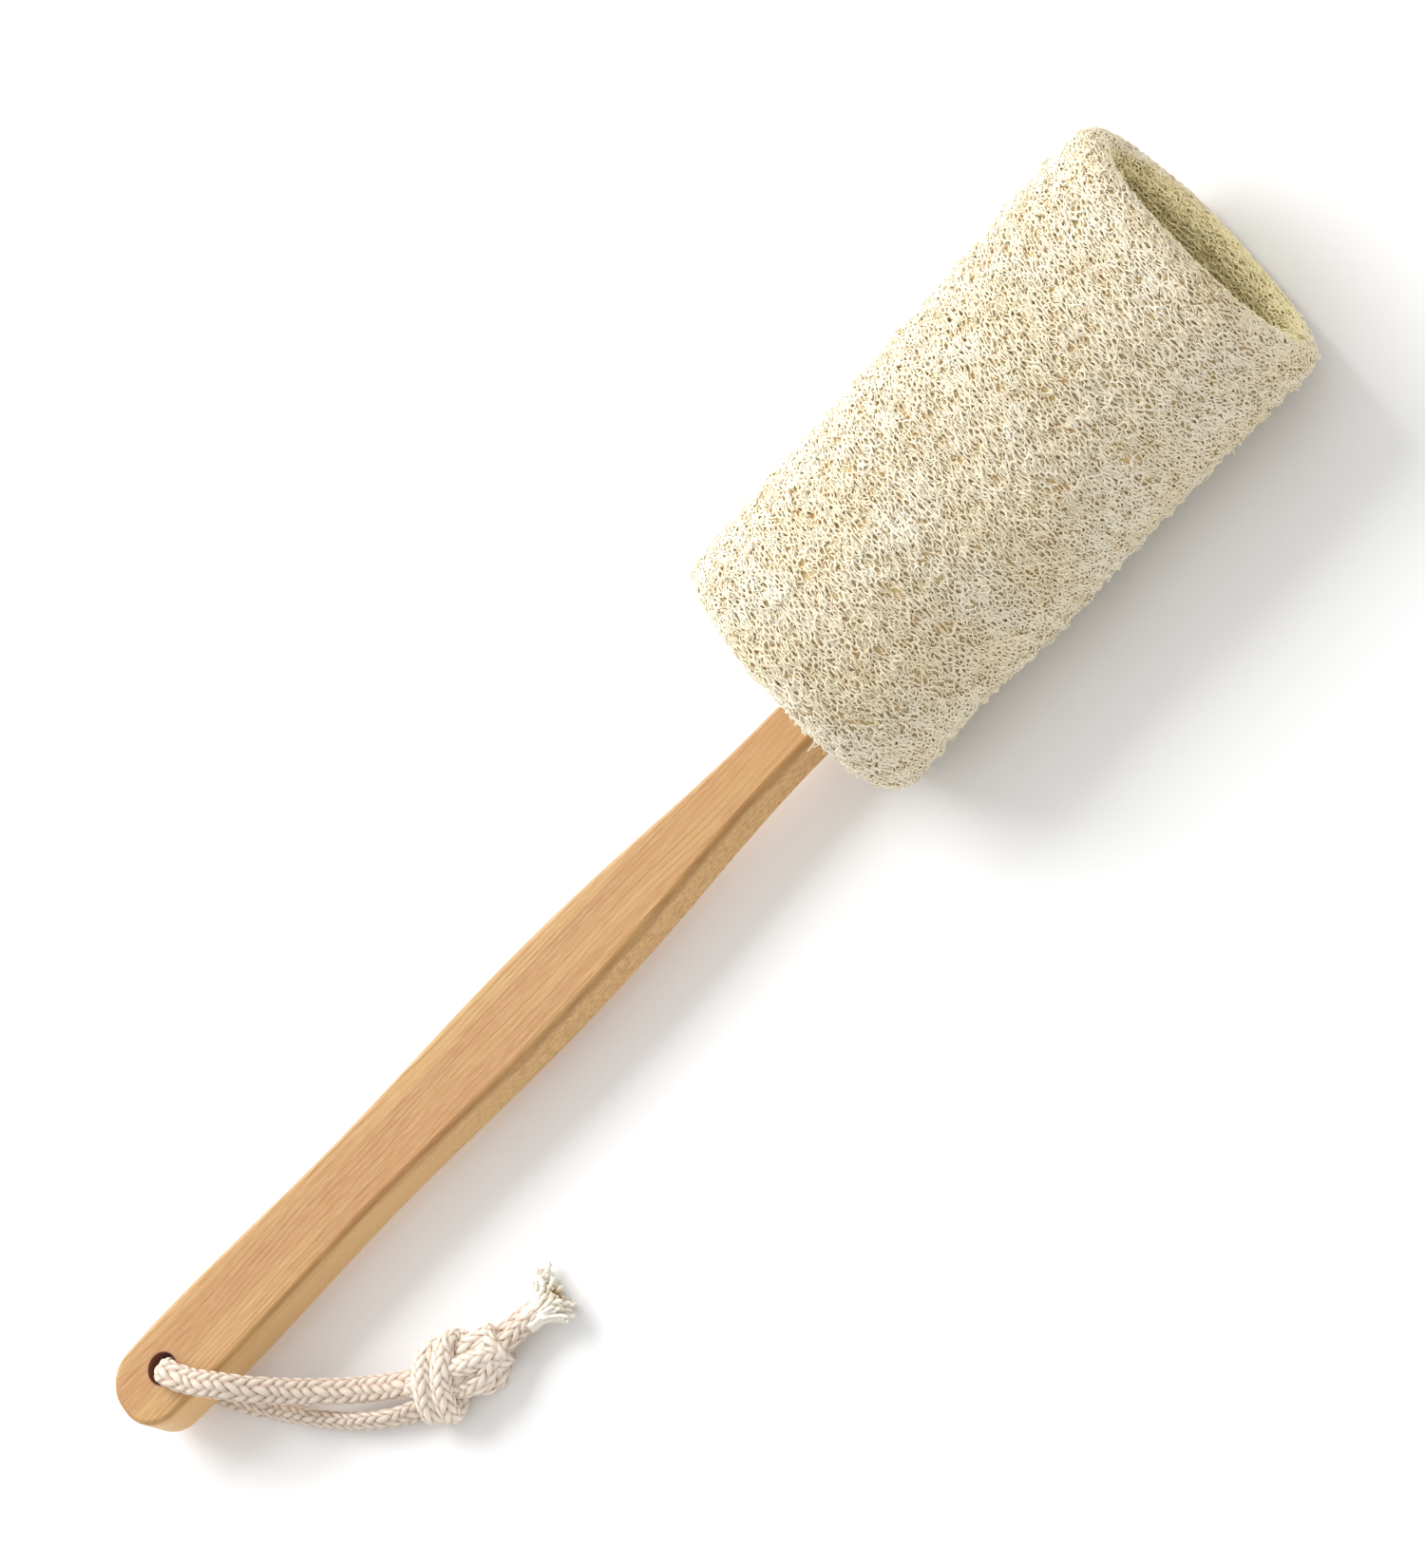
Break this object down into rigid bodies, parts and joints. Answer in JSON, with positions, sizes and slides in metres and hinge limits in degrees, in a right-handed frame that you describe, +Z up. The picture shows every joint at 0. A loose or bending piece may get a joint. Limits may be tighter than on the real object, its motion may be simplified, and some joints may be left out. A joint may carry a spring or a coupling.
{
  "type": "loofah back scrubber",
  "caption": "Long wooden handle with a hollow loofah head, open at its far end, and a knotted cotton cord through the handle's end for hanging.",
  "frame": {"origin": "middle of the loofah head's flat underside, on the surface the scrubber lies on", "axes": "+X along the handle from its tip towards the head's open end, +Z up out of the handle's broad face"},
  "size_m": [0.4044, 0.1152, 0.0543],
  "materials": {
    "wood": "smooth, lightly waxed",
    "loofah": "dry open fibre",
    "steel": "plain wire",
    "thread": "matt cotton",
    "cord": "matt braided cotton"
  },
  "bodies": {
    "scrubber": {"handle": "wood", "loofah_sleeve": "loofah", "staples": "steel", "closing_stitches": "thread"},
    "cord": {"hanging_cord": "cord", "cord_knot": "cord", "cord_tail_1": "cord", "cord_tail_2": "cord"}
  },
  "joints": [
    {"name": "cord_swing", "type": "hinge", "parent": "scrubber", "child": "cord", "pos_m": [-0.313, -0.007, 0.01325], "axis": [0, 0, 1], "range_deg": [-245, 12]}
  ]
}
